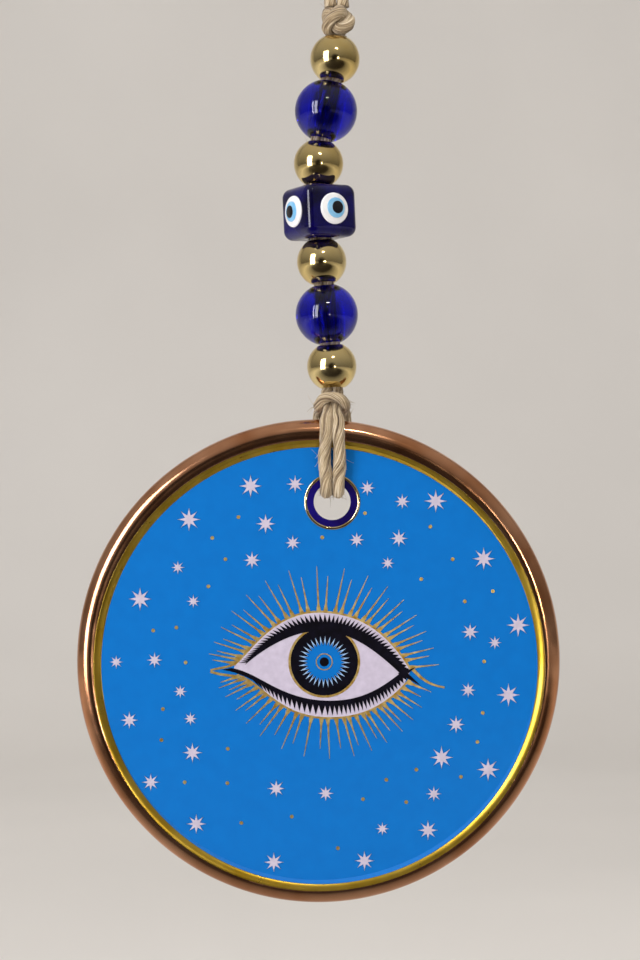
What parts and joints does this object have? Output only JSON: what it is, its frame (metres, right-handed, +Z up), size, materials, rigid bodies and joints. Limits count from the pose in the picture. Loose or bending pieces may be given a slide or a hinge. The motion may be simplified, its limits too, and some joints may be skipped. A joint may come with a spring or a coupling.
{
  "type": "evil eye ornament",
  "caption": "Hanging evil eye ornament: a gilded ceramic disc with a printed eye, on jute twine strung with gold, blue glass and cube eye beads.",
  "frame": {"origin": "centre of the nail that the hanging loop goes over", "axes": "+Z up the hanging string, -Y out of the printed face, +X to the right as seen from the front"},
  "size_m": [0.1, 0.0152, 0.2592],
  "materials": {
    "white_glazed_ceramic": "gloss",
    "copper_lustre": "mirror",
    "gold_foil": "speckled foil",
    "blue_print": "gloss",
    "navy_glaze": "gloss",
    "white_print": "gloss",
    "black_print": "gloss",
    "gold_print": "foil",
    "gold_plating": "mirror",
    "cobalt_glass": "polished",
    "opaque_navy_glass": "polished",
    "white_glass": "polished",
    "pale_blue_glass": "polished",
    "black_glass": "polished",
    "jute_twine": "matt"
  },
  "bodies": {
    "nail_loop": {"end_knot": "jute_twine", "twine_tails": "jute_twine", "loop_crown": "jute_twine"},
    "loop_upper": {"loop_shoulders": "jute_twine"},
    "loop_lower": {"loop_legs": "jute_twine"},
    "string": {"bead_knot": "jute_twine", "bead_strands": "jute_twine"},
    "gold_bead_1": {"gold_bead_1": "gold_plating"},
    "blue_bead_1": {"blue_bead_1": "cobalt_glass"},
    "gold_bead_2": {"gold_bead_2": "gold_plating"},
    "cube_bead": {"cube_bead": "opaque_navy_glass", "cube_eye_whites": "white_glass", "cube_eye_blues": "pale_blue_glass", "cube_eye_pupils": "black_glass"},
    "gold_bead_3": {"gold_bead_3": "gold_plating"},
    "blue_bead_2": {"blue_bead_2": "cobalt_glass"},
    "gold_bead_4": {"gold_bead_4": "gold_plating"},
    "hitch": {"neck_strands": "jute_twine", "hitch_strands": "jute_twine", "hitch_legs": "jute_twine", "hitch_bight": "jute_twine"},
    "disc": {"ceramic_disc": "white_glazed_ceramic", "lustre_rim": "copper_lustre", "foil_band": "gold_foil", "blue_field": "blue_print", "hole_ring": "navy_glaze", "hole_outline": "gold_print", "gold_dots": "gold_print", "star_tips": "gold_print", "white_stars": "white_print", "eye_white": "white_print", "eye_gold_lines": "gold_print", "eyelids": "black_print", "iris_ring": "gold_print", "iris_ground": "black_print", "iris_rays": "white_print", "iris_core": "blue_print", "pupil_ring": "gold_print", "pupil": "black_print"}
  },
  "joints": [
    {"name": "loop_swing", "type": "hinge", "parent": "nail_loop", "child": "loop_upper", "pos_m": [0, 0, 0], "axis": [0, 1, 0], "range_deg": [-40, 40], "deforming": ["loop_crown", "loop_shoulders"]},
    {"name": "loop_tip", "type": "hinge", "parent": "loop_upper", "child": "loop_lower", "pos_m": [0.0004, 0, -0.008], "axis": [1, 0, 0], "range_deg": [-35, 35]},
    {"name": "string_twist", "type": "hinge", "parent": "loop_lower", "child": "string", "pos_m": [0.0034, 0, -0.056], "axis": [0, 0, 1], "range_deg": [-180, 180], "deforming": ["loop_legs"]},
    {"name": "gold_bead_1_spin", "type": "hinge", "parent": "string", "child": "gold_bead_1", "pos_m": [0.00235, 0, -0.13071], "axis": [-0.059, 0, 0.9983], "continuous": true},
    {"name": "blue_bead_1_spin", "type": "hinge", "parent": "string", "child": "blue_bead_1", "pos_m": [0.0013, 0, -0.11991], "axis": [-0.1, 0, 0.995], "continuous": true},
    {"name": "gold_bead_2_spin", "type": "hinge", "parent": "string", "child": "gold_bead_2", "pos_m": [0.00025, 0, -0.10895], "axis": [-0.075, 0, 0.9972], "continuous": true},
    {"name": "cube_bead_spin", "type": "hinge", "parent": "string", "child": "cube_bead", "pos_m": [-0.0003, 0, -0.0988], "axis": [-0.0451, 0, 0.999], "continuous": true},
    {"name": "gold_bead_3_spin", "type": "hinge", "parent": "string", "child": "gold_bead_3", "pos_m": [-0.0004, 0, -0.08856], "axis": [0.0527, 0, 0.9986], "continuous": true},
    {"name": "blue_bead_2_spin", "type": "hinge", "parent": "string", "child": "blue_bead_2", "pos_m": [0.00115, 0, -0.0776], "axis": [0.1802, 0, 0.9836], "continuous": true},
    {"name": "gold_bead_4_spin", "type": "hinge", "parent": "string", "child": "gold_bead_4", "pos_m": [0.003, 0, -0.06681], "axis": [0.1219, 0, 0.9925], "continuous": true},
    {"name": "disc_tilt", "type": "hinge", "parent": "string", "child": "hitch", "pos_m": [0.0024, 0, -0.13617], "axis": [1, 0, 0], "range_deg": [-25, 25], "deforming": ["neck_strands"]},
    {"name": "disc_sway", "type": "hinge", "parent": "hitch", "child": "disc", "pos_m": [0.0024, 0, -0.15876], "axis": [0, 1, 0], "range_deg": [-15, 15], "deforming": ["hitch_strands", "hitch_legs"]}
  ]
}
